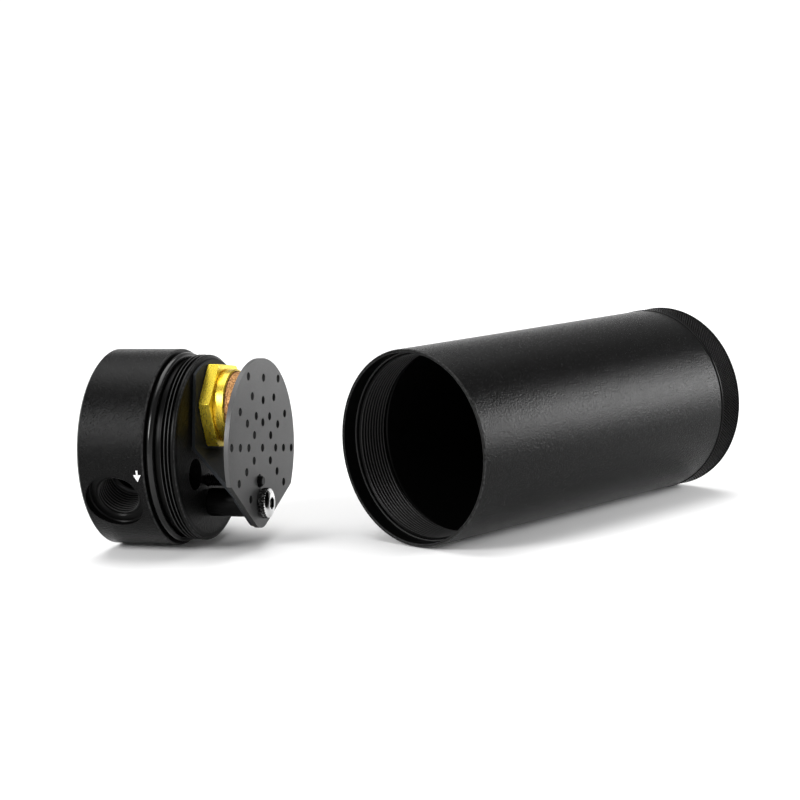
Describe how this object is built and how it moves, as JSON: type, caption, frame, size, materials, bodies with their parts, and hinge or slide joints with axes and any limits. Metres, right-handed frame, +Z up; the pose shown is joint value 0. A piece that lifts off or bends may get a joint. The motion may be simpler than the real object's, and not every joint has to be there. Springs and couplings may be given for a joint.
{
  "type": "baffled oil and air separator canister",
  "caption": "Two-part round canister in black aluminium: a ported head with a brass breather filter and a perforated baffle, and a screw-on can with a knurled base.",
  "frame": {"origin": "the middle of the floor under both halves, which lie on their sides", "axes": "+X along the can from its mouth to its base, +Z up; the head lies across, with its baffle turned towards the can's mouth"},
  "size_m": [0.249, 0.1596, 0.0762],
  "materials": {
    "black_anodised_aluminium": "fine bead-blasted, satin black anodised",
    "knurled_black_aluminium": "fine knurl, satin black anodised",
    "black_sheet": "satin black anodised sheet",
    "seal_rubber": "smooth and slightly oiled",
    "polished_steel": "polished face, knurled dark side",
    "brass": "machined bright",
    "sintered_bronze": "open grains, matt"
  },
  "bodies": {
    "head": {"head_body": "black_anodised_aluminium", "head_oring": "seal_rubber", "air_diverter": "black_sheet", "baffle_post": "black_anodised_aluminium", "locating_stud": "black_sheet", "baffle_plate": "black_sheet", "baffle_screw": "polished_steel", "filter_body": "brass", "filter_element": "sintered_bronze"},
    "can": {"can_tube": "black_anodised_aluminium"},
    "base_seal": {"base_oring": "seal_rubber"},
    "base": {"base_cap": "knurled_black_aluminium"}
  },
  "joints": [
    {"name": "can_swing", "type": "hinge", "parent": "head", "child": "can", "pos_m": [-0.03758, -0.04174, 0.0381], "axis": [0, 0, -1], "range_deg": [0, 63]},
    {"name": "base_travel", "type": "slide", "parent": "can", "child": "base_seal", "axis": [1, 0, 0], "range_m": [0, 0.0121]},
    {"name": "base_turn", "type": "hinge", "parent": "base_seal", "child": "base", "pos_m": [0.11155, -0.04174, 0.0381], "axis": [1, 0, 0], "range_deg": [0, 2880]}
  ],
  "couplings": [
    {"joint": "base_travel", "follows": "base_turn", "m_per_rad": 0.00023873}
  ]
}
